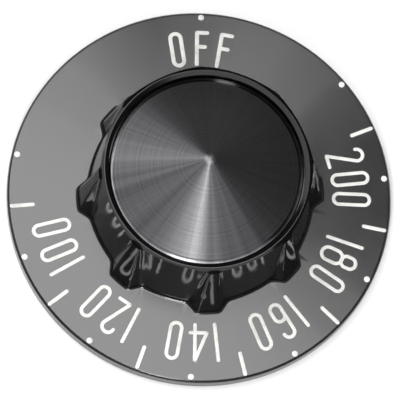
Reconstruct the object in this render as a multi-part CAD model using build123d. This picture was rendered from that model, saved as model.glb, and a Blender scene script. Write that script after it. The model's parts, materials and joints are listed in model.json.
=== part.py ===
# Thermostat knob: a black moulded dial with a lobed grip, a spun aluminium cap and a leaf spring for the shaft.
# Millimetres and degrees. The origin is the centre of the skirt's back.
# +Z runs along the shaft axis to the cap, +Y points to OFF, and turns are clockwise from OFF, seen from the front.
import os
from math import atan2, cos, radians, sin, sqrt, tan

from build123d import *

# Skirt, the round plate that carries the figures
DIAL_DIAMETER = 57.15
SKIRT_THICKNESS = 2.3
SKIRT_EDGE_CHAMFER = 0.3
SKIRT_FALL_ANGLE = 3.0

# Grip, a flared foot cut into lobes by flutes that run out at the round rim
GRIP_HEIGHT = 14.3
RIM_DIAMETER = 30.6
RIM_EDGE_CHAMFER = 0.3
FOOT_FLAT_RADIUS = 16.6
LOBE_COUNT = 8
LOBE_TURN = -4.3
LOBE_RUNOUT_ANGLE = 45.0
FOOT_LOBE_HEIGHT = 1.65
RIM_LOBE_HEIGHT = 0.45
FLUTE_FOOT_WIDTH = 7.0
FLUTE_RIM_WIDTH = 10.4
FLUTE_FLOOR_RADIUS = 22.0
FLUTE_FLANK_ANGLE = 59.0
FLUTE_ROOT_ROUND = 1.6
FLUTE_OVERRUN = 0.2

# Cap and the recess that it is bonded into
BEZEL_WIDTH = 0.95
BEZEL_LAND = 0.15
BEZEL_FALL_ANGLE = 32.0
CAP_RECESS_DEPTH = 2.1
CAP_CLEARANCE = 0.08
CAP_SHEET = 0.6
CAP_LIP = 0.8
CAP_RISE = 6.5
CAP_NOSE_RADIUS = 2.5

# Hollow back with its hub and ribs
GRIP_WALL = 3.6
TOP_WALL = 2.5
BACK_DRAFT_ANGLE = 4.0
HUB_RADIUS = 7.6
HUB_SETBACK = 1.0
HUB_DRAFT_ANGLE = 1.0
RIB_COUNT = 4
RIB_TURN = 45.0
RIB_THICKNESS = 1.8
RIB_SETBACK = 3.0

# Shaft hole, for a round shaft with one flat
SHAFT_DIAMETER = 6.35
SHAFT_ACROSS_FLAT = 4.76
SHAFT_CLEARANCE = 0.05
LEAD_IN_CLEARANCE = 0.275
LEAD_IN_DEPTH = 4.0

# Leaf spring, in a slot behind the flat
SPRING_WIDTH = 3.4
SPRING_SHEET = 0.4
SPRING_FOOT = 1.0
SPRING_NIP = 0.15
SPRING_SIDE_GAP = 0.1
SPRING_END_GAP = 0.3
SLOT_DEPTH = 1.2

# Radii and heights that follow from these
dial_radius = DIAL_DIAMETER / 2
rim_radius = RIM_DIAMETER / 2
rim_z = SKIRT_THICKNESS + GRIP_HEIGHT
recess_radius = rim_radius - BEZEL_WIDTH
recess_z = rim_z - CAP_RECESS_DEPTH
ceiling_z = recess_z - TOP_WALL
lobe_pitch = 360 / LOBE_COUNT
lobe_radius = FOOT_FLAT_RADIUS + FOOT_LOBE_HEIGHT
back_radius = FOOT_FLAT_RADIUS - GRIP_WALL
cap_radius = recess_radius - CAP_CLEARANCE
cap_tip_z = recess_z + CAP_LIP + CAP_RISE
cap_slope = atan2(CAP_RISE, cap_radius)
shaft_radius = SHAFT_DIAMETER / 2
lead_in_z = HUB_SETBACK + LEAD_IN_DEPTH
flat_y = SHAFT_ACROSS_FLAT - shaft_radius + SHAFT_CLEARANCE
slot_back_y = flat_y + SLOT_DEPTH

FROM_BELOW = (Align.CENTER, Align.CENTER, Align.MIN)


def highest_circle(solid):
    """The topmost round edge of a turned solid."""
    return solid.edges().filter_by(GeomType.CIRCLE).sort_by(Axis.Z)[-1]


def skirt():
    """Round plate with a broken front edge and a face that rises a little towards the grip."""
    plate = Cylinder(dial_radius, SKIRT_THICKNESS, align=FROM_BELOW)
    plate = chamfer(highest_circle(plate), SKIRT_EDGE_CHAMFER)
    face_radius = dial_radius - SKIRT_EDGE_CHAMFER
    face_rise = face_radius * tan(radians(SKIRT_FALL_ANGLE))
    return plate + Pos(Z=SKIRT_THICKNESS) * Cone(face_radius, 0, face_rise, align=FROM_BELOW)


def flute_section(rise):
    """Outline of a flute at a share of the grip's height: a bulging floor, rounded roots and slanted flanks."""
    foot = Vector(0, FOOT_FLAT_RADIUS, SKIRT_THICKNESS)
    lean = Vector(0, rim_radius - FOOT_FLAT_RADIUS, GRIP_HEIGHT)
    floor = (FLUTE_FOOT_WIDTH + rise * (FLUTE_RIM_WIDTH - FLUTE_FOOT_WIDTH)) / 2
    drop = FLUTE_FLOOR_RADIUS - sqrt(FLUTE_FLOOR_RADIUS**2 - floor**2)
    reach = 2 * FOOT_LOBE_HEIGHT
    side = floor + (reach + drop) * tan(radians(FLUTE_FLANK_ANGLE))
    bulge = ThreePointArc((-floor, -drop), (0, 0), (floor, -drop))
    flanks = Polyline((floor, -drop), (side, reach), (-side, reach), (-floor, -drop))
    section = make_face(bulge.edges() + flanks.edges())
    section = fillet(section.vertices().sort_by(Axis.Y)[:2], FLUTE_ROOT_ROUND)
    return Plane(origin=foot + lean * rise, x_dir=(1, 0, 0), z_dir=lean) * section


def flute():
    """Cut on the +Y side that leans in and widens from foot to rim, a little longer than the grip at both ends."""
    return loft([flute_section(-FLUTE_OVERRUN), flute_section(1 + FLUTE_OVERRUN)], ruled=True)


def grip():
    """Flared cone with a flute between each pair of lobes, trimmed by a steeper cone to a true circle at the rim."""
    lobes = Pos(Z=SKIRT_THICKNESS) * Cone(
        lobe_radius,
        rim_radius + RIM_LOBE_HEIGHT,
        GRIP_HEIGHT,
        align=FROM_BELOW,
    )
    cut = flute()
    for i in range(LOBE_COUNT):
        lobes -= Rot(Z=-LOBE_TURN - (i + 1 / 2) * lobe_pitch) * cut
    runout_radius = rim_radius + rim_z * tan(radians(LOBE_RUNOUT_ANGLE))
    runout = Cone(runout_radius, rim_radius, rim_z, align=FROM_BELOW)
    return lobes & chamfer(highest_circle(runout), RIM_EDGE_CHAMFER)


def cap_recess():
    """Round recess in the grip's top, with a bezel that falls towards it from a narrow land at the rim."""
    land_radius = rim_radius - RIM_EDGE_CHAMFER - BEZEL_LAND
    fall = (land_radius - recess_radius) * tan(radians(BEZEL_FALL_ANGLE))
    bezel = Pos(Z=rim_z - fall) * Cone(recess_radius, land_radius, fall, align=FROM_BELOW)
    return bezel + Pos(Z=recess_z) * Cylinder(recess_radius, CAP_RECESS_DEPTH, align=FROM_BELOW)


def back_hollow():
    """Hollow behind the grip, with the hub and the ribs left standing."""
    top_radius = back_radius - ceiling_z * tan(radians(BACK_DRAFT_ANGLE))
    hollow = Cone(back_radius, top_radius, ceiling_z, align=FROM_BELOW)
    hub_length = ceiling_z - HUB_SETBACK
    hub_root_radius = HUB_RADIUS + hub_length * tan(radians(HUB_DRAFT_ANGLE))
    hollow -= Pos(Z=HUB_SETBACK) * Cone(HUB_RADIUS, hub_root_radius, hub_length, align=FROM_BELOW)
    rib = Pos(Z=RIB_SETBACK) * Box(
        RIB_THICKNESS,
        back_radius,
        ceiling_z - RIB_SETBACK,
        align=(Align.CENTER, Align.MIN, Align.MIN),
    )
    for i in range(RIB_COUNT):
        hollow -= Rot(Z=-RIB_TURN - i * 360 / RIB_COUNT) * rib
    return hollow


def shaft_hole():
    """Round lead-in at the hub's mouth, then a round hole with one flat, and the spring's slot behind the flat."""
    hole_length = ceiling_z - lead_in_z
    lead_in = Cylinder(shaft_radius + LEAD_IN_CLEARANCE, lead_in_z, align=FROM_BELOW)
    hole = Pos(Z=lead_in_z) * Cylinder(shaft_radius + SHAFT_CLEARANCE, hole_length, align=FROM_BELOW)
    flat_side = (Align.CENTER, Align.MIN, Align.MIN)
    hole -= Pos(Y=flat_y, Z=lead_in_z) * Box(SHAFT_DIAMETER, SHAFT_DIAMETER, hole_length, align=flat_side)
    slot = Pos(Z=lead_in_z) * Box(
        SPRING_WIDTH + 2 * SPRING_SIDE_GAP,
        slot_back_y,
        hole_length,
        align=flat_side,
    )
    return lead_in + hole + slot


def knob_body():
    """One black phenolic moulding: skirt, grip, hub and ribs."""
    return skirt() + grip() - cap_recess() - back_hollow() - shaft_hole()


def cone_with_nose(depth, edge_radius):
    """Solid under the cap's outer face, set in by a depth: a shallow cone with a rounded nose."""
    nose = CAP_NOSE_RADIUS - depth
    nose_z = cap_tip_z - CAP_NOSE_RADIUS / cos(cap_slope)
    edge_z = cap_tip_z - depth / cos(cap_slope) - edge_radius * tan(cap_slope)
    tangent = (nose * sin(cap_slope), nose_z + nose * cos(cap_slope))
    middle = (nose * sin(cap_slope / 2), nose_z + nose * cos(cap_slope / 2))
    top = (0, nose_z + nose)
    sides = Polyline(top, (0, recess_z), (edge_radius, recess_z), (edge_radius, edge_z), tangent)
    section = make_face(sides.edges() + ThreePointArc(tangent, middle, top).edges())
    return revolve(Plane.XZ * section, Axis.Z)


def cap_disc():
    """Spun aluminium cap of even thickness: a cone with a rounded nose and a lip on the recess floor."""
    return cone_with_nose(0, cap_radius) - cone_with_nose(CAP_SHEET, cap_radius - CAP_SHEET)


def shaft_spring():
    """Bowed leaf of spring steel: two flat feet on the slot's back, and a belly that presses on the shaft's flat."""
    low_z, high_z = lead_in_z + SPRING_END_GAP, ceiling_z - SPRING_END_GAP
    foot_y = slot_back_y - SPRING_SHEET
    belly_y = flat_y - SPRING_NIP

    def leaf_face(shift):
        foot, belly = foot_y + shift, belly_y + shift
        low_bend, high_bend = (foot, low_z + SPRING_FOOT), (foot, high_z - SPRING_FOOT)
        feet = Line((foot, low_z), low_bend).edges() + Line(high_bend, (foot, high_z)).edges()
        return feet + ThreePointArc(low_bend, (belly, (low_z + high_z) / 2), high_bend).edges()

    ends = Line((foot_y, low_z), (slot_back_y, low_z)).edges()
    ends += Line((foot_y, high_z), (slot_back_y, high_z)).edges()
    leaf = make_face(leaf_face(0) + leaf_face(SPRING_SHEET) + ends)
    return extrude(Plane.YZ * leaf, SPRING_WIDTH / 2, both=True)


os.makedirs("parts", exist_ok=True)
for node in (knob_body, cap_disc, shaft_spring):
    export_step(node(), f"parts/{node.__name__}.step")
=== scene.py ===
import json
from math import atan, atan2, ceil, cos, hypot, pi, radians, sin, tan

import bmesh
import bpy
from bpy.props import FloatProperty, FloatVectorProperty, IntProperty, PointerProperty
from mathutils import Matrix, Vector

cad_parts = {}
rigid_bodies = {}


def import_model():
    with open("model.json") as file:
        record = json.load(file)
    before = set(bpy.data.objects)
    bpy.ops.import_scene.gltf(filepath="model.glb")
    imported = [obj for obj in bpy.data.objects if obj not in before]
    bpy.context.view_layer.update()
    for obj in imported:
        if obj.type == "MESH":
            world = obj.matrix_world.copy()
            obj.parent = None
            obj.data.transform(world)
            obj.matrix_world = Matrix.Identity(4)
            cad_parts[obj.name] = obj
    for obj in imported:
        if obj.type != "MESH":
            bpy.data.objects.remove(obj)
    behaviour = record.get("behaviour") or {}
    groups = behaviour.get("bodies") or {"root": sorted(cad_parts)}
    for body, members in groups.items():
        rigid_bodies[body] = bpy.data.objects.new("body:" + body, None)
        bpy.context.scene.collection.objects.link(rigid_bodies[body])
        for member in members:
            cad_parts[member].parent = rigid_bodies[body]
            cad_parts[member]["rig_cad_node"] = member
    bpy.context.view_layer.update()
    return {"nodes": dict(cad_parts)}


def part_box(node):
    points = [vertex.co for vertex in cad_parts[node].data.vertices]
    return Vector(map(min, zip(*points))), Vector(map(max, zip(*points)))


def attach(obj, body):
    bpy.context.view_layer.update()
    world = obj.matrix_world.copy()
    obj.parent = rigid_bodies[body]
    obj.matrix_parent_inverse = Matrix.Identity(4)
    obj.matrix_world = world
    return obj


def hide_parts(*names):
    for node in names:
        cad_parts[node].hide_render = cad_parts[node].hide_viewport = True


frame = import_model()

bl_info = {
    "name": "Thermostat Knob",
    "version": (1, 0, 0),
    "blender": (4, 5, 0),
    "location": "View3D > Sidebar > Knob",
    "description": "Dresses a moulded thermostat knob: spun cap, painted figures, materials and a small studio",
    "category": "Object",
}

MM = 0.001
BODY = "root"
WHOLE_TURN = 2 * pi


def linear(hex_colour):
    """A colour written as sRGB hex, in linear light."""
    shares = [int(hex_colour[i:i + 2], 16) / 255 for i in (1, 3, 5)]
    return tuple(s / 12.92 if s <= 0.04045 else ((s + 0.055) / 1.055) ** 2.4 for s in shares)


def length(name, millimetres, description):
    """A size that the panel shows in the scene's units."""
    return FloatProperty(name=name, description=description, default=millimetres * MM, unit="LENGTH", precision=5)


def angle(name, degrees, description):
    """An angle that the panel shows in degrees."""
    return FloatProperty(name=name, description=description, default=radians(degrees), subtype="ANGLE")


def colour(name, hex_colour, description):
    """A colour that the panel shows as a swatch."""
    return FloatVectorProperty(
        name=name, description=description, default=linear(hex_colour), subtype="COLOR", min=0, max=1
    )


class KnobDial(bpy.types.PropertyGroup):
    """Sizes of the painted figures, ticks and dots"""

    face_edge: length("Face Edge", 28.275, "Radius at which the skirt's face ends at its broken edge")
    face_edge_z: length("Face Edge Height", 2.3, "Height of the skirt's face at its edge")
    face_fall: angle("Face Fall", 3.0, "Slope of the skirt's face, down from the grip to the edge")
    figure_radius: length("Figure Radius", 22.63, "Distance of the figures' middle from the shaft axis")
    figure_height: length("Figure Height", 5.4, "Height of a figure along the middle of its strokes")
    figure_stroke: length("Figure Stroke", 0.52, "Width of a figure's stroke")
    word_radius: length("Word Radius", 22.78, "Distance of the word OFF's middle from the shaft axis")
    word_height: length("Word Height", 5.1, "Height of the word OFF along the middle of its strokes")
    word_stroke: length("Word Stroke", 0.6, "Width of the stroke in the word OFF")
    paint_rise: length("Paint Rise", 0.03, "How far the filled paint stands above the skirt's face")
    tick_stroke: length("Tick Stroke", 0.56, "Width of a tick")
    tick_inner: length("Tick Inner", 24.8, "Radius at which a tick starts")
    tick_outer: length("Tick Outer", 27.95, "Radius at which a tick's outer end is struck")
    dot_radius: length("Dot Radius", 27.75, "Distance of the dots from the shaft axis")
    dot_diameter: length("Dot Diameter", 0.9, "Diameter of a dot")
    mark_step: angle("Mark Step", 33.1, "Angle from one dot to the next")
    first_dot: angle("First Dot", 49.8, "Angle of the first dot after OFF, clockwise")


class KnobCap(bpy.types.PropertyGroup):
    """Sizes of the spun cap"""

    lip: length("Lip", 0.8, "Height of the upright lip below the shoulder")
    rise: length("Rise", 6.5, "Height of the cone above the lip, up to its sharp point")
    shoulder: length("Shoulder", 0.3, "Radius of the rounded shoulder")
    brim_slope: angle("Brim Slope", 12.0, "Slope of the brim where it meets the shoulder")
    brim_hollow: length("Brim Hollow", 2.5, "Radius of the hollow curve from the cone out to the brim")
    nose: length("Nose", 2.5, "Radius of the rounded tip")
    sheet: length("Sheet", 0.6, "Thickness of the metal")
    steps: IntProperty(name="Steps", description="Facets around the cap", default=192, min=32, max=512)


class KnobColours(bpy.types.PropertyGroup):
    """Colours of the knob's materials and of the stage"""

    # The skirt's mottle runs between these two colours: besides the flow marks it paints an uneven sheen on the satin
    phenolic: colour("Phenolic", "#282829", "Moulded black phenolic, as it looks on the satin skirt")
    phenolic_deep: colour("Deep Phenolic", "#09090a", "Polished phenolic of the grip, and the darker flow marks")
    # The two aluminium colours paint highlight and shade: the cap's rays and rings pass from the lighter, lit colour
    # to the darker, shaded one
    aluminium: colour("Aluminium", "#747476", "Dark anodised aluminium of the cap")
    aluminium_ray_shade: colour("Aluminium Groove", "#48484a", "The same aluminium in the spun grooves")
    paint: colour("Paint", "#e6e6e2", "White filling paint of the figures")
    paint_thin: colour("Thin Paint", "#cfcfca", "The same paint where it lies thin")
    spring: colour("Spring", "#5b5f66", "Blued spring steel")
    spring_dark: colour("Dark Spring", "#33363c", "Darker rolling marks of the spring steel")
    paper: colour("Paper", "#f4f4f4", "Paper of the floor and the backdrop")


class KnobStage(bpy.types.PropertyGroup):
    """Camera and light"""

    camera_distance: length("Camera Distance", 685.8, "Distance of the camera from the middle of the skirt's face")
    camera_tilt: angle("Camera Tilt", 16.67, "Angle between the view and the shaft axis")
    camera_turn: angle("Camera Turn", -14.97, "Turn of the camera about the shaft axis")
    camera_roll: angle("Camera Roll", 16.06, "Turn of the camera about its own view")
    lens: FloatProperty(name="Lens", description="Focal length in millimetres", default=416.0, min=1)
    key_power: FloatProperty(name="Key Power", description="Power of the softbox in watts", default=3.1, min=0)
    wide_power: FloatProperty(name="Wide Power", description="Power of the wide, dim softbox", default=2.26, min=0)
    front_power: FloatProperty(name="Front Power", description="Power of the front softbox", default=1.4, min=0)
    back_power: FloatProperty(name="Back Power", description="Power of the small softbox behind", default=0.1, min=0)
    flash_power: FloatProperty(name="Flash Power", description="Power of the flash at the camera", default=0.75, min=0)
    room_light: FloatProperty(name="Room Light", description="Strength of the dim room", default=0.03, min=0)


def alone(piece):
    """Makes one object the only selected and the active one."""
    bpy.ops.object.select_all(action="DESELECT")
    piece.select_set(True)
    bpy.context.view_layer.objects.active = piece
    return piece


def pick(piece, test):
    """Selects, in edit mode, the vertices at which the test holds, with the edges and faces between them."""
    bpy.ops.mesh.select_mode(type="VERT")
    bpy.ops.mesh.select_all(action="DESELECT")
    mesh = bmesh.from_edit_mesh(piece.data)
    for vertex in mesh.verts:
        if test(vertex.co):
            vertex.select_set(True)
    mesh.select_flush(True)
    bmesh.update_edit_mesh(piece.data)


def pick_edges(piece, test):
    """Selects, in edit mode, the edges for which the test holds, given their bend (hollow if negative) and ends."""
    bpy.ops.mesh.select_mode(type="EDGE")
    bpy.ops.mesh.select_all(action="DESELECT")
    mesh = bmesh.from_edit_mesh(piece.data)
    for edge in mesh.edges:
        if test(edge.calc_face_angle_signed(), edge.verts[0].co, edge.verts[1].co):
            edge.select_set(True)
    bmesh.update_edit_mesh(piece.data)


def inside(co, low, high, inner, outer):
    """Whether a point lies between two heights and two radii."""
    return low < co.z < high and inner < hypot(co.x, co.y) < outer


def both_in(a, b, zone):
    """Whether both ends of an edge lie in a zone, given as two heights and two radii."""
    return inside(a, *zone) and inside(b, *zone)


def joined(pieces, name):
    """Joins several objects into one."""
    bpy.ops.object.select_all(action="DESELECT")
    for piece in pieces:
        piece.select_set(True)
    bpy.context.view_layer.objects.active = pieces[0]
    if len(pieces) > 1:
        bpy.ops.object.join()
    whole = bpy.context.object
    whole.name = name
    whole.data.name = name
    return whole


def settle(piece, material):
    """Gives a finished piece its material and lets it ride on the body."""
    piece.data.materials.clear()
    piece.data.materials.append(material)
    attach(piece, BODY)
    return piece


def add_node(tree, kind, settings=None, links=None):
    """Adds a shader node with its settings and with links into its inputs."""
    node = tree.nodes.new(kind)
    for name, value in (settings or {}).items():
        if isinstance(name, str) and name in node.bl_rna.properties:
            setattr(node, name, value)
        else:
            node.inputs[name].default_value = value
    for name, output in (links or {}).items():
        tree.links.new(output, node.inputs[name])
    return node


def new_material(name):
    """An empty material, its node tree, its shader and its object coordinates."""
    material = bpy.data.materials.new(name)
    material.use_nodes = True
    tree = material.node_tree
    place = add_node(tree, "ShaderNodeTexCoord")
    return material, tree, tree.nodes["Principled BSDF"], place.outputs["Object"]


def moulded_phenolic():
    """Compression-moulded phenolic: a deep black that is polished on the grip and satin grey on the skirt."""
    colours, dial = bpy.context.scene.knob_colours, bpy.context.scene.knob_dial
    material, tree, shader, place = new_material("moulded_phenolic")
    parts = add_node(tree, "ShaderNodeSeparateXYZ", links={0: place})
    # The satin of the skirt ends in the fillet at the grip's foot
    foot = dial.face_edge_z + 0.63 * MM
    on_grip = add_node(
        tree,
        "ShaderNodeMapRange",
        {"From Min": foot, "From Max": foot + 0.1 * MM},
        {"Value": parts.outputs["Z"]},
    ).outputs[0]
    # Flow marks about 6 mm across, from the powder's run in the mould; in the colour they also paint an uneven sheen
    # on the satin skirt
    flow = add_node(
        tree, "ShaderNodeTexNoise", {"Scale": 1 / (6 * MM), "Detail": 3.0, "Roughness": 0.6}, {"Vector": place}
    ).outputs["Fac"]
    # Filler specks of about 0.1 mm, drawn at 0.3 mm so that they show
    specks = add_node(
        tree, "ShaderNodeTexNoise", {"Scale": 1 / (0.3 * MM), "Detail": 2.0}, {"Vector": place}
    ).outputs["Fac"]
    mottle_and_sheen = add_node(
        tree, "ShaderNodeMath", {"operation": "MULTIPLY_ADD", 1: 0.5}, {0: flow, 2: specks}
    ).outputs[0]
    share = add_node(tree, "ShaderNodeMapRange", {"From Min": 0.35, "From Max": 1.0}, {"Value": mottle_and_sheen}).outputs[0]
    # The skirt's colour: flow marks and filler specks, with a painted sheen in the flow mottle
    skirt_tone_and_sheen = add_node(
        tree,
        "ShaderNodeMix",
        {"data_type": "RGBA", 6: (*colours.phenolic_deep, 1), 7: (*colours.phenolic, 1)},
        {0: share},
    ).outputs[2]
    tone = add_node(
        tree, "ShaderNodeMix", {"data_type": "RGBA", 7: (*colours.phenolic_deep, 1)}, {0: on_grip, 6: skirt_tone_and_sheen}
    ).outputs[2]
    satin = add_node(
        tree, "ShaderNodeMapRange", {"To Min": 0.18, "To Max": 0.24}, {"Value": flow}
    ).outputs[0]
    roughness = add_node(
        tree, "ShaderNodeMix", {"data_type": "FLOAT", 3: 0.1}, {0: on_grip, 2: satin}
    ).outputs[0]
    skin = add_node(
        tree, "ShaderNodeBump", {"Strength": 0.25, "Distance": 0.006 * MM}, {"Height": specks}
    ).outputs[0]
    shader.inputs["IOR"].default_value = 1.7
    tree.links.new(tone, shader.inputs["Base Color"])
    tree.links.new(roughness, shader.inputs["Roughness"])
    tree.links.new(skin, shader.inputs["Normal"])
    return material


def spun_aluminium():
    """Spun aluminium: rings too fine to count, which spread the light into a fan of bright rays."""
    colours = bpy.context.scene.knob_colours
    material, tree, shader, place = new_material("spun_aluminium")
    flat = add_node(
        tree, "ShaderNodeVectorMath", {"operation": "MULTIPLY", 1: (1, 1, 0)}, {0: place}
    ).outputs[0]
    radius = add_node(tree, "ShaderNodeVectorMath", {"operation": "LENGTH"}, {0: flat}).outputs["Value"]
    around = add_node(tree, "ShaderNodeVectorMath", {"operation": "NORMALIZE"}, {0: flat}).outputs[0]
    # Tool rings of about 0.05 mm, drawn at 0.3 mm so that they show
    rings = add_node(
        tree, "ShaderNodeTexNoise", {"noise_dimensions": "1D", "Scale": 1 / (0.3 * MM), "Detail": 2.0}, {"W": radius}
    ).outputs["Fac"]
    # Rays about 10 degrees wide, from the uneven pressure of the tool: in the roughness they are the tool's marks, in
    # the colour they are painted highlight streaks with painted shade between them
    rays = add_node(
        tree, "ShaderNodeTexNoise", {"Scale": 6.0, "Detail": 4.0, "Roughness": 0.6}, {"Vector": around}
    ).outputs["Fac"]
    rays_and_rings = add_node(
        tree, "ShaderNodeMath", {"operation": "MULTIPLY_ADD", 1: 0.3}, {0: rings, 2: rays}
    ).outputs[0]
    share = add_node(tree, "ShaderNodeMapRange", {"From Min": 0.4, "From Max": 0.9}, {"Value": rays_and_rings}).outputs[0]
    # Painted highlight and shade: the bright rays and rings take the lighter colour, the dark ones the darker colour
    tone = add_node(
        tree,
        "ShaderNodeMix",
        {"data_type": "RGBA", 6: (*colours.aluminium_ray_shade, 1), 7: (*colours.aluminium, 1)},
        {0: share},
    ).outputs[2]
    spun = add_node(
        tree, "ShaderNodeMapRange", {"To Min": 0.34, "To Max": 0.26}, {"Value": share}
    ).outputs[0]
    # The brim, the last 0.8 mm, is burnished by the tool
    burnished = add_node(
        tree, "ShaderNodeMapRange", {"From Min": 13.45 * MM, "From Max": 13.6 * MM}, {"Value": radius}
    ).outputs[0]
    roughness = add_node(
        tree, "ShaderNodeMix", {"data_type": "FLOAT", 3: 0.15}, {0: burnished, 2: spun}
    ).outputs[0]
    grooves = add_node(
        tree, "ShaderNodeBump", {"Strength": 0.12, "Distance": 0.01 * MM}, {"Height": rings}
    ).outputs[0]
    tangent = add_node(tree, "ShaderNodeTangent", {"direction_type": "RADIAL", "axis": "Z"}).outputs[0]
    shader.inputs["Metallic"].default_value = 1.0
    shader.inputs["Anisotropic"].default_value = 0.75
    shader.inputs["Anisotropic Rotation"].default_value = 0.25
    tree.links.new(tone, shader.inputs["Base Color"])
    tree.links.new(roughness, shader.inputs["Roughness"])
    tree.links.new(grooves, shader.inputs["Normal"])
    tree.links.new(tangent, shader.inputs["Tangent"])
    return material


def filling_paint():
    """White filling paint, wiped into the figures: dull, a little uneven, thin at some edges."""
    colours = bpy.context.scene.knob_colours
    material, tree, shader, place = new_material("filling_paint")
    # Patches of about 1.5 mm where the wiping left less paint
    wiped = add_node(
        tree, "ShaderNodeTexNoise", {"Scale": 1 / (1.5 * MM), "Detail": 3.0}, {"Vector": place}
    ).outputs["Fac"]
    share = add_node(tree, "ShaderNodeMapRange", {"From Min": 0.3, "From Max": 0.55}, {"Value": wiped}).outputs[0]
    tone = add_node(
        tree,
        "ShaderNodeMix",
        {"data_type": "RGBA", 6: (*colours.paint_thin, 1), 7: (*colours.paint, 1)},
        {0: share},
    ).outputs[2]
    # Pigment grain of about 0.05 mm, drawn at 0.15 mm so that it shows
    grain = add_node(tree, "ShaderNodeTexNoise", {"Scale": 1 / (0.15 * MM)}, {"Vector": place}).outputs["Fac"]
    skin = add_node(
        tree, "ShaderNodeBump", {"Strength": 0.2, "Distance": 0.005 * MM}, {"Height": grain}
    ).outputs[0]
    roughness = add_node(tree, "ShaderNodeMapRange", {"To Min": 0.45, "To Max": 0.6}, {"Value": wiped}).outputs[0]
    tree.links.new(tone, shader.inputs["Base Color"])
    tree.links.new(roughness, shader.inputs["Roughness"])
    tree.links.new(skin, shader.inputs["Normal"])
    return material


def blued_spring_steel():
    """Cold-rolled strip, blued by tempering: dark and smooth, with fine rolling lines along the leaf."""
    colours = bpy.context.scene.knob_colours
    material, tree, shader, place = new_material("blued_spring_steel")
    # Rolling lines of about 0.1 mm, drawn out along the leaf's length
    stretched = add_node(
        tree, "ShaderNodeMapping", {"Scale": (1 / (0.1 * MM), 1 / (0.1 * MM), 1 / (3 * MM))}, {"Vector": place}
    ).outputs[0]
    lines = add_node(tree, "ShaderNodeTexNoise", {"Scale": 1.0, "Detail": 2.0}, {"Vector": stretched}).outputs["Fac"]
    tone = add_node(
        tree,
        "ShaderNodeMix",
        {"data_type": "RGBA", 6: (*colours.spring_dark, 1), 7: (*colours.spring, 1)},
        {0: lines},
    ).outputs[2]
    roughness = add_node(tree, "ShaderNodeMapRange", {"To Min": 0.25, "To Max": 0.4}, {"Value": lines}).outputs[0]
    shader.inputs["Metallic"].default_value = 1.0
    tree.links.new(tone, shader.inputs["Base Color"])
    tree.links.new(roughness, shader.inputs["Roughness"])
    return material


CAP_BENDS = 8
CAP_RINGS = 12
PEN_SIDES = 8
TURN_STEP = radians(12)
CLOSE = 1e-7
MERGE_GAP = 0.001 * MM

# Zones of the body, each as its lowest and highest height and its inner and outer radius
FOOT_ZONE = (2.3 * MM, 3.1 * MM, 15.5 * MM, 19 * MM)
LOBE_ZONE = (2.6 * MM, 16.2 * MM, 15.4 * MM, 19 * MM)
LOBE_CORNER_ZONE = (2.75 * MM, 2.9 * MM, 18.0 * MM, 18.4 * MM)
SKIRT_EDGE_ZONE = (-0.1 * MM, 2.4 * MM, 28 * MM, 29 * MM)
LAND_INNER_ZONE = (16.55 * MM, 16.65 * MM, 14.8 * MM, 14.9 * MM)

# Widths of the rounded edges, and the share of the lobes' width between two heights
FOOT_ROUND = 0.4 * MM
LOBE_ROUND = 0.3 * MM
SKIRT_EDGE_ROUND = 0.12 * MM
LOBE_SHARES = (
    (2.6 * MM, 8.0 * MM, 1.0),
    (8.0 * MM, 11.6 * MM, 0.6),
    (11.6 * MM, 14.6 * MM, 0.25),
    (14.6 * MM, 16.3 * MM, 0.08),
)

# Bends between two faces, in radians: a hollow corner, an outer edge and a nearly flat seam
HOLLOW_BEND = -0.5
EDGE_BEND = 0.2
SEAM_BEND = 0.15

# How far the inner edge of the rim's land is drawn outwards, which leaves a thin line
LAND_GROWTH = 1.007

# Angles of the characters in a word from its middle, in degrees
OFF_TURNS = (-9.0, 0.4, 8.9)
TWO_HUNDRED_TURNS = (-9.4, -0.9, 7.1)
ONE_HUNDREDS_TURNS = (-8.9, -2.2, 7.0)

# Place and size of each lamp in metres, and the turn of the two overhead ones
OVERHEAD_PLACE, OVERHEAD_SIZE = (-0.140, 0.157, 0.6), (0.335, 0.82)
WIDE_PLACE, WIDE_SIZE = (-0.241, 0.022, 0.605), (0.665, 1.35)
FRONT_PLACE, FRONT_SIZE = (-0.083, -0.472, 0.361), (0.12, 0.12)
BACK_PLACE, BACK_SIZE = (0.08, 0.257, 0.6), (0.07, 0.07)
FLASH_SIZE = (0.1, 0.1)
FLASH_REACH = 1.1
OVERHEAD_TURN = (0, 0, radians(41))

# The paper sweep in metres: its radius, the width and rise of its raised border, and its gap under the skirt's back
SWEEP_RADIUS = 2.0
SWEEP_BORDER = 0.5
SWEEP_RISE = 0.3
SWEEP_GAP = 0.05 * MM


def along(heading):
    """A step of length one in a direction on the flat."""
    return Vector((cos(heading), sin(heading), 0))


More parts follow.
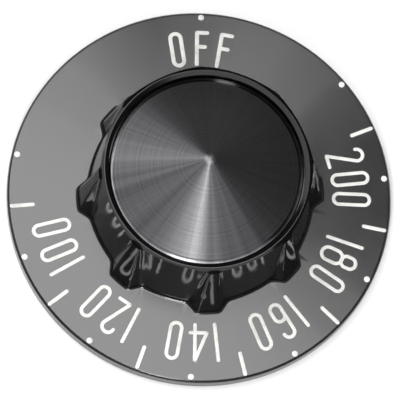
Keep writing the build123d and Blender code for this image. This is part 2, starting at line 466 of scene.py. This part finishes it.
def stroke(width, start, heading, moves, closed=False):
    """One stroke of paint, swept as with a round pen: straight runs, round turns, and round ends unless it closes."""
    bpy.ops.object.select_all(action="DESELECT")
    bpy.ops.mesh.primitive_circle_add(
        vertices=PEN_SIDES, radius=width / 2, location=(*start, 0), rotation=(pi / 2, 0, heading - pi / 2)
    )
    bpy.ops.object.transform_apply(location=True, rotation=True, scale=True)
    bead = bpy.context.object
    tip = Vector((*start, 0))
    bpy.ops.object.mode_set(mode="EDIT")

    def round_end(sweep):
        side = along(heading + pi / 2)

        def on_end(co):
            off = co - tip
            return off.length < width and abs(off.dot(along(heading))) < CLOSE and off.dot(side) > -CLOSE

        pick(bead, on_end)
        bpy.ops.mesh.spin(steps=PEN_SIDES, angle=sweep, center=tip, axis=(0, 0, 1))

    if not closed:
        round_end(-pi)
        bpy.ops.mesh.select_all(action="SELECT")
        bpy.ops.mesh.remove_doubles(threshold=CLOSE)
        pick(bead, lambda co: abs((co - tip).dot(along(heading))) < CLOSE)
    for run, bend in moves:
        if bend == 0:
            step = along(heading) * run
            bpy.ops.mesh.extrude_region_move(TRANSFORM_OT_translate={"value": step})
            tip += step
        else:
            to_centre = along(heading + (pi / 2 if bend > 0 else -pi / 2)) * run
            centre = tip + to_centre
            steps = max(2, ceil(abs(bend) / TURN_STEP))
            bpy.ops.mesh.spin(steps=steps, angle=-bend, center=centre, axis=(0, 0, 1))
            tip = centre - Matrix.Rotation(bend, 3, "Z") @ to_centre
            heading += bend
    if not closed:
        round_end(pi)
    bpy.ops.mesh.select_all(action="SELECT")
    bpy.ops.mesh.remove_doubles(threshold=CLOSE)
    bpy.ops.mesh.normals_make_consistent(inside=False)
    bpy.ops.object.mode_set(mode="OBJECT")
    return bead


def loop(width, high, middle, stroke_width):
    """A closed ring with straight sides and round ends, such as a nought."""
    bow = width / 2
    run = high - width
    start = (bow, middle - run / 2)
    return stroke(stroke_width, start, pi / 2, ((run, 0), (bow, pi), (run, 0), (bow, pi)), closed=True)


def line(stroke_width, start, end):
    """A straight stroke."""
    reach, rise = end[0] - start[0], end[1] - start[1]
    return stroke(stroke_width, start, atan2(rise, reach), ((hypot(reach, rise), 0),))


def nought(high, pen):
    """0, and the letter O: a tall narrow ring."""
    return [loop(0.304 * high, high, 0, pen)]


def one(high, pen):
    """1: a plain upright stroke."""
    return [line(pen, (0, -high / 2), (0, high / 2))]


def two(high, pen):
    """2: a hook, a round top, a long slant and a short foot."""
    bow = high / 6
    lean = 2 * atan(bow / (high - bow))
    top = stroke(pen, (-bow, high / 2 - bow), pi / 2, ((bow, -pi - lean), (high - bow, 0)))
    return [top, line(pen, (-bow, -high / 2), (bow, -high / 2))]


def four(high, pen):
    """4: a stem, a slant from its top and a bar across it."""
    stem, left, right, bar = 0.1 * high, -0.225 * high, 0.225 * high, -0.28 * high
    return [
        line(pen, (stem, -high / 2), (stem, high / 2)),
        line(pen, (stem, high / 2), (left, bar)),
        line(pen, (left, bar), (right, bar)),
    ]


def six(high, pen):
    """6: a tall hook that closes into a ring at its foot."""
    bow = 0.154 * high
    back = high - 2 * bow
    ring = 0.5 * high - 2 * bow
    moves = ((bow, pi), (back, 0), (bow, pi), (ring, 0), (bow, pi))
    return [stroke(pen, (bow, high / 2 - bow), pi / 2, moves)]


def eight(high, pen):
    """8: a small ring on a larger one."""
    upper, lower = 0.42 * high, 0.6 * high
    return [
        loop(0.32 * high, upper, (high - upper) / 2, pen),
        loop(0.37 * high, lower, (lower - high) / 2, pen),
    ]


def letter_f(high, pen):
    """F: a stem with two arms, the upper one longer."""
    left, top_arm, middle_arm, middle = -0.15 * high, 0.3 * high, 0.235 * high, 0.06 * high
    return [
        line(pen, (left, -high / 2), (left, high / 2)),
        line(pen, (left, high / 2), (left + top_arm, high / 2)),
        line(pen, (left, middle), (left + middle_arm, middle)),
    ]


FIGURES = {"0": nought, "1": one, "2": two, "4": four, "6": six, "8": eight, "O": nought, "F": letter_f}


def lens(piece):
    """Flattens round beads into lens sections, sunk half into the skirt as paint is in its groove."""
    dial = bpy.context.scene.knob_dial
    alone(piece)
    bpy.ops.object.mode_set(mode="EDIT")
    bpy.ops.mesh.select_all(action="SELECT")
    flat = dial.paint_rise / (dial.figure_stroke / 2)
    bpy.ops.transform.resize(value=(1, 1, flat), center_override=(0, 0, 0))
    bpy.ops.object.mode_set(mode="OBJECT")
    return piece


def set_on_face(piece, radius, turn):
    """Lays a piece on the skirt's sloping face at a radius and at an angle clockwise from OFF, its top outwards."""
    dial = bpy.context.scene.knob_dial
    alone(piece)
    height = dial.face_edge_z + (dial.face_edge - radius) * tan(dial.face_fall)
    piece.location = (radius * sin(turn), radius * cos(turn), height)
    piece.rotation_euler = (-dial.face_fall, 0, -turn)
    bpy.ops.object.transform_apply(location=True, rotation=True, scale=True)
    return piece


def copy_of(piece):
    """A copy of an object with its own mesh."""
    alone(piece)
    bpy.ops.object.duplicate()
    return bpy.context.object


def painted(words, radius, high, pen, name):
    """Paints words on the dial, each given as its characters and their angles from OFF."""
    models, placed = {}, []
    for letters, turns in words:
        for letter, turn in zip(letters, turns):
            if letter not in models:
                models[letter] = lens(joined(FIGURES[letter](high, pen), "figure_" + letter))
            placed.append(set_on_face(copy_of(models[letter]), radius, turn))
    bpy.ops.object.select_all(action="DESELECT")
    for model in models.values():
        model.select_set(True)
    bpy.ops.object.delete()
    return smooth(joined(placed, name))


def smooth(piece, crease=radians(32)):
    """Smooth shading, with creases kept."""
    alone(piece)
    bpy.ops.object.shade_smooth_by_angle(angle=crease)
    return piece


class KNOB_OT_body(bpy.types.Operator):
    """Finish the moulded body: one smooth skin over the CAD facets"""

    bl_idname = "knob.body"
    bl_label = "Moulded Body"

    def execute(self, context):
        body = copy_of(frame["nodes"]["knob_body"])
        body.name = body.data.name = "moulded_body"
        del body["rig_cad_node"]
        bpy.ops.object.mode_set(mode="EDIT")
        bpy.ops.mesh.select_all(action="SELECT")
        bpy.ops.mesh.remove_doubles(threshold=MERGE_GAP)
        bpy.ops.mesh.customdata_custom_splitnormals_clear()
        bpy.ops.mesh.dissolve_limited(angle_limit=radians(0.05))
        self.round_lobes(body)
        self.round_edges(body, lambda bend, a, b: bend < HOLLOW_BEND and both_in(a, b, FOOT_ZONE), FOOT_ROUND)
        pick(body, lambda co: inside(co, *LAND_INNER_ZONE))
        bpy.ops.transform.resize(value=(LAND_GROWTH, LAND_GROWTH, 1), center_override=(0, 0, 0))
        self.round_edges(
            body, lambda bend, a, b: bend > EDGE_BEND and both_in(a, b, SKIRT_EDGE_ZONE), SKIRT_EDGE_ROUND
        )
        bpy.ops.mesh.select_mode(type="VERT")
        bpy.ops.object.mode_set(mode="OBJECT")
        smooth(body, radians(20))
        flat = body.modifiers.new("flat_faces", "WEIGHTED_NORMAL")
        flat.keep_sharp = True
        flat.weight = 100
        bpy.ops.object.modifier_apply(modifier=flat.name)
        settle(body, moulded_phenolic())
        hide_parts("knob_body")
        return {"FINISHED"}

    def round_lobes(self, body):
        """Rounds the lobes' edges, more at the foot and less towards the rim, where the lobes run out."""
        def at_corner(a, b):
            return inside(a, *LOBE_CORNER_ZONE) or inside(b, *LOBE_CORNER_ZONE)

        def upright(a, b):
            return abs(a.z - b.z) > 0.5 * (a - b).length

        # Seams of the skirt that meet a lobe's corner would fold its round
        pick_edges(body, lambda bend, a, b: abs(bend) < SEAM_BEND and at_corner(a, b))
        bpy.ops.mesh.dissolve_edges(use_verts=False)
        for low, high, share in LOBE_SHARES:
            pick_edges(
                body,
                lambda bend, a, b: bend > EDGE_BEND
                and upright(a, b)
                and both_in(a, b, LOBE_ZONE)
                and low < (a.z + b.z) / 2 < high,
            )
            bpy.ops.transform.edge_bevelweight(value=share)
        bpy.ops.object.mode_set(mode="OBJECT")
        rounds = body.modifiers.new("lobe_rounds", "BEVEL")
        rounds.limit_method = "WEIGHT"
        rounds.width = LOBE_ROUND
        rounds.segments = 4
        rounds.use_clamp_overlap = False
        rounds.loop_slide = False
        bpy.ops.object.modifier_apply(modifier=rounds.name)
        bpy.ops.object.mode_set(mode="EDIT")

    def round_edges(self, body, test, width):
        """Rounds a closed line of edges, after its shortest edges are merged away."""
        pick_edges(body, test)
        bpy.ops.mesh.remove_doubles(threshold=width / 4)
        pick_edges(body, test)
        bpy.ops.mesh.bevel(offset=width, segments=5, affect="EDGES", clamp_overlap=False, loop_slide=False)


class KNOB_OT_cap(bpy.types.Operator):
    """Spin the aluminium cap: lip, rounded shoulder, small brim, shallow cone and rounded tip"""

    bl_idname = "knob.cap"
    bl_label = "Spun Cap"

    def execute(self, context):
        cap = context.scene.knob_cap
        low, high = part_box("cap_disc")
        radius = high.x
        slope = atan2(cap.rise, radius)
        brim = cap.brim_slope
        out_of_brim, out_of_cone = Vector((sin(brim), 0, cos(brim))), Vector((sin(slope), 0, cos(slope)))
        brim_x = radius - cap.shoulder * (1 - sin(brim))
        cone_x = brim_x - cap.brim_hollow * (sin(slope) - sin(brim))
        cone_start = Vector((cone_x, 0, low.z + cap.lip + cap.rise - cone_x * tan(slope)))
        hollow_centre = cone_start + cap.brim_hollow * out_of_cone
        centre = hollow_centre - (cap.brim_hollow + cap.shoulder) * out_of_brim
        nose_z = high.z - cap.nose
        nose_end = Vector((0, 0, nose_z)) + cap.nose * out_of_cone
        bpy.ops.object.select_all(action="DESELECT")
        bpy.ops.mesh.primitive_plane_add(size=MM)
        piece = context.object
        piece.name = piece.data.name = "spun_cap"
        bpy.ops.object.mode_set(mode="EDIT")
        bpy.ops.mesh.merge(type="CENTER")
        bpy.ops.transform.translate(value=(radius, 0, low.z))
        bpy.ops.mesh.extrude_region_move(TRANSFORM_OT_translate={"value": (0, 0, centre.z - low.z)})
        bpy.ops.mesh.spin(steps=CAP_BENDS, angle=pi / 2 - brim, center=centre, axis=(0, 1, 0))
        bpy.ops.mesh.spin(steps=CAP_BENDS, angle=brim - slope, center=hollow_centre, axis=(0, 1, 0))
        for i in range(CAP_RINGS):
            bpy.ops.mesh.extrude_region_move(
                TRANSFORM_OT_translate={"value": (nose_end - cone_start) / CAP_RINGS}
            )
        bpy.ops.mesh.spin(steps=CAP_BENDS, angle=slope, center=(0, 0, nose_z), axis=(0, 1, 0))
        bpy.ops.mesh.select_all(action="SELECT")
        bpy.ops.mesh.spin(steps=cap.steps, angle=WHOLE_TURN, center=(0, 0, 0), axis=(0, 0, 1))
        bpy.ops.mesh.select_all(action="SELECT")
        bpy.ops.mesh.remove_doubles(threshold=MERGE_GAP)
        bpy.ops.mesh.normals_make_consistent(inside=False)
        bpy.ops.object.mode_set(mode="OBJECT")
        sheet = piece.modifiers.new("sheet", "SOLIDIFY")
        sheet.thickness = cap.sheet
        sheet.offset = -1
        bpy.ops.object.modifier_apply(modifier=sheet.name)
        smooth(piece)
        settle(piece, spun_aluminium())
        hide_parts("cap_disc")
        return {"FINISHED"}


class KNOB_OT_spring(bpy.types.Operator):
    """Give the leaf spring its blued steel"""

    bl_idname = "knob.spring"
    bl_label = "Shaft Spring"

    def execute(self, context):
        spring = frame["nodes"]["shaft_spring"]
        spring.data.materials.clear()
        spring.data.materials.append(blued_spring_steel())
        return {"FINISHED"}


class KNOB_OT_figures(bpy.types.Operator):
    """Paint the temperatures around the dial"""

    bl_idname = "knob.figures"
    bl_label = "Figures"

    def execute(self, context):
        dial = context.scene.knob_dial
        words = []
        for i in range(6):
            number = str(200 - 20 * i)
            offsets = TWO_HUNDRED_TURNS if number[0] == "2" else ONE_HUNDREDS_TURNS
            middle = dial.first_dot + (i + 1) * dial.mark_step
            words.append((number, [middle + radians(o) for o in offsets]))
        piece = painted(words, dial.figure_radius, dial.figure_height, dial.figure_stroke, "dial_figures")
        settle(piece, filling_paint())
        return {"FINISHED"}


class KNOB_OT_word(bpy.types.Operator):
    """Paint the word OFF at the top of the dial"""

    bl_idname = "knob.word"
    bl_label = "Word OFF"

    def execute(self, context):
        dial = context.scene.knob_dial
        turns = [radians(o) for o in OFF_TURNS]
        piece = painted([("OFF", turns)], dial.word_radius, dial.word_height, dial.word_stroke, "off_word")
        settle(piece, bpy.data.materials["filling_paint"])
        return {"FINISHED"}


class KNOB_OT_ticks(bpy.types.Operator):
    """Paint the ticks between the temperatures"""

    bl_idname = "knob.ticks"
    bl_label = "Ticks"

    def execute(self, context):
        dial = context.scene.knob_dial
        reach = dial.tick_outer - dial.tick_inner
        model = lens(line(dial.tick_stroke, (0, -reach / 2), (0, reach / 2)))
        middle = (dial.tick_outer + dial.tick_inner) / 2
        turns = [dial.first_dot + (i + 0.5) * dial.mark_step for i in range(7)]
        ticks = [set_on_face(copy_of(model), middle, turn) for turn in turns]
        alone(model)
        bpy.ops.object.delete()
        piece = smooth(joined(ticks, "dial_ticks"))
        settle(piece, bpy.data.materials["filling_paint"])
        return {"FINISHED"}


class KNOB_OT_dots(bpy.types.Operator):
    """Paint the dots at OFF and at each temperature"""

    bl_idname = "knob.dots"
    bl_label = "Dots"

    def execute(self, context):
        dial = context.scene.knob_dial
        model = lens(stroke(dial.dot_diameter, (0, 0), pi / 2, ()))
        turns = [0] + [dial.first_dot + i * dial.mark_step for i in range(8)]
        dots = [set_on_face(copy_of(model), dial.dot_radius, turn) for turn in turns]
        alone(model)
        bpy.ops.object.delete()
        piece = smooth(joined(dots, "dial_dots"))
        settle(piece, bpy.data.materials["filling_paint"])
        return {"FINISHED"}


def studio_paper():
    """White studio paper: plain to the camera and in reflections, and dull under the lamps, so a shadow stays."""
    colours = bpy.context.scene.knob_colours
    material, tree, shader, place = new_material("studio_paper")
    # Paper fibre of about 0.5 mm
    fibre = add_node(tree, "ShaderNodeTexNoise", {"Scale": 1 / (0.5 * MM)}, {"Vector": place}).outputs["Fac"]
    roughness = add_node(tree, "ShaderNodeMapRange", {"To Min": 0.85, "To Max": 0.95}, {"Value": fibre}).outputs[0]
    path = add_node(tree, "ShaderNodeLightPath").outputs
    seen = add_node(
        tree,
        "ShaderNodeMath",
        {"operation": "MAXIMUM"},
        {0: path["Is Camera Ray"], 1: path["Is Glossy Ray"]},
    ).outputs[0]
    seen = add_node(
        tree, "ShaderNodeMath", {"operation": "MAXIMUM"}, {0: seen, 1: path["Is Transmission Ray"]}
    ).outputs[0]
    glow = add_node(tree, "ShaderNodeMath", {"operation": "MULTIPLY", 1: 0.05}, {0: seen}).outputs[0]
    shader.inputs["Base Color"].default_value = (*colours.paper, 1)
    shader.inputs["Specular IOR Level"].default_value = 0.0
    shader.inputs["Emission Color"].default_value = (*colours.paper, 1)
    tree.links.new(glow, shader.inputs["Emission Strength"])
    tree.links.new(roughness, shader.inputs["Roughness"])
    return material


class KNOB_OT_stage(bpy.types.Operator):
    """Set up the paper sweep, the lamps, the dim room and the camera"""

    bl_idname = "knob.stage"
    bl_label = "Stage"

    def execute(self, context):
        stage, dial = context.scene.knob_stage, context.scene.knob_dial
        bpy.ops.object.select_all(action="DESELECT")
        # Just under the skirt's back, so that the two faces don't lie in one plane
        bpy.ops.mesh.primitive_circle_add(
            vertices=96, radius=SWEEP_RADIUS, fill_type="NGON", location=(0, 0, -SWEEP_GAP)
        )
        floor = context.object
        floor.name = floor.data.name = "paper_sweep"
        bpy.ops.object.mode_set(mode="EDIT")
        bpy.ops.mesh.select_all(action="SELECT")
        bpy.ops.mesh.inset(thickness=SWEEP_BORDER)
        pick(floor, lambda co: hypot(co.x, co.y) > SWEEP_RADIUS - SWEEP_BORDER / 2)
        bpy.ops.transform.translate(value=(0, 0, SWEEP_RISE))
        bpy.ops.object.mode_set(mode="OBJECT")
        floor.data.materials.append(studio_paper())
        middle = Vector((0, 0, dial.face_edge_z))
        self.lamp("overhead_softbox", OVERHEAD_PLACE, OVERHEAD_SIZE, OVERHEAD_TURN, stage.key_power)
        self.lamp("wide_softbox", WIDE_PLACE, WIDE_SIZE, OVERHEAD_TURN, stage.wide_power)
        self.lamp("front_softbox", FRONT_PLACE, FRONT_SIZE, None, stage.front_power)
        self.lamp("back_softbox", BACK_PLACE, BACK_SIZE, None, stage.back_power)
        world = bpy.data.worlds.new("dim_room")
        context.scene.world = world
        world.use_nodes = True
        room = world.node_tree.nodes["Background"]
        room.inputs["Color"].default_value = (1, 1, 1, 1)
        room.inputs["Strength"].default_value = stage.room_light
        turned = (
            Matrix.Rotation(stage.camera_turn, 4, "Z")
            @ Matrix.Rotation(stage.camera_tilt, 4, "X")
            @ Matrix.Rotation(stage.camera_roll, 4, "Z")
        )
        back = turned @ Vector((0, 0, stage.camera_distance))
        bpy.ops.object.camera_add(location=middle + back, rotation=turned.to_euler())
        camera = context.object
        camera.name = "photo_camera"
        self.lamp("flash", middle + back * FLASH_REACH, FLASH_SIZE, None, stage.flash_power)
        camera.data.sensor_width = 36
        camera.data.lens = stage.lens
        camera.data.shift_x = 0.001
        camera.data.shift_y = -0.0114
        camera.data.clip_start = 0.05
        context.scene.camera = camera
        context.scene.view_settings.view_transform = "Standard"
        return {"FINISHED"}

    def lamp(self, name, place, size, turn, power):
        """A soft lamp that faces the knob, or is turned as given."""
        turn = turn or Vector(place).to_track_quat("Z", "Y").to_euler()
        bpy.ops.object.light_add(type="AREA", location=place, rotation=turn)
        lamp = bpy.context.object
        lamp.name = lamp.data.name = name
        lamp.data.shape = "RECTANGLE"
        lamp.data.size, lamp.data.size_y = size
        lamp.data.energy = power


class KNOB_PT_panel(bpy.types.Panel):
    """The knob's pieces, in the order in which they are made"""

    bl_label = "Thermostat Knob"
    bl_space_type = "VIEW_3D"
    bl_region_type = "UI"
    bl_category = "Knob"

    def draw(self, context):
        for operator in OPERATORS:
            self.layout.operator(operator.bl_idname)
        for group in ("knob_dial", "knob_cap", "knob_colours", "knob_stage"):
            settings = getattr(context.scene, group)
            box = self.layout.box()
            for name in settings.__annotations__:
                box.prop(settings, name)


GROUPS = {"knob_dial": KnobDial, "knob_cap": KnobCap, "knob_colours": KnobColours, "knob_stage": KnobStage}
OPERATORS = (
    KNOB_OT_body,
    KNOB_OT_cap,
    KNOB_OT_spring,
    KNOB_OT_figures,
    KNOB_OT_word,
    KNOB_OT_ticks,
    KNOB_OT_dots,
    KNOB_OT_stage,
)


def register():
    for group in GROUPS.values():
        bpy.utils.register_class(group)
    for operator in OPERATORS:
        bpy.utils.register_class(operator)
    bpy.utils.register_class(KNOB_PT_panel)
    for name, group in GROUPS.items():
        setattr(bpy.types.Scene, name, PointerProperty(type=group))


def unregister():
    for name in GROUPS:
        delattr(bpy.types.Scene, name)
    bpy.utils.unregister_class(KNOB_PT_panel)
    for operator in reversed(OPERATORS):
        bpy.utils.unregister_class(operator)
    for group in reversed(list(GROUPS.values())):
        bpy.utils.unregister_class(group)


def main():
    """Makes the pieces in order."""
    register()
    bpy.ops.knob.body()
    bpy.ops.knob.cap()
    bpy.ops.knob.spring()
    bpy.ops.knob.figures()
    bpy.ops.knob.word()
    bpy.ops.knob.ticks()
    bpy.ops.knob.dots()
    bpy.ops.knob.stage()


if __name__ == "__main__":
    main()
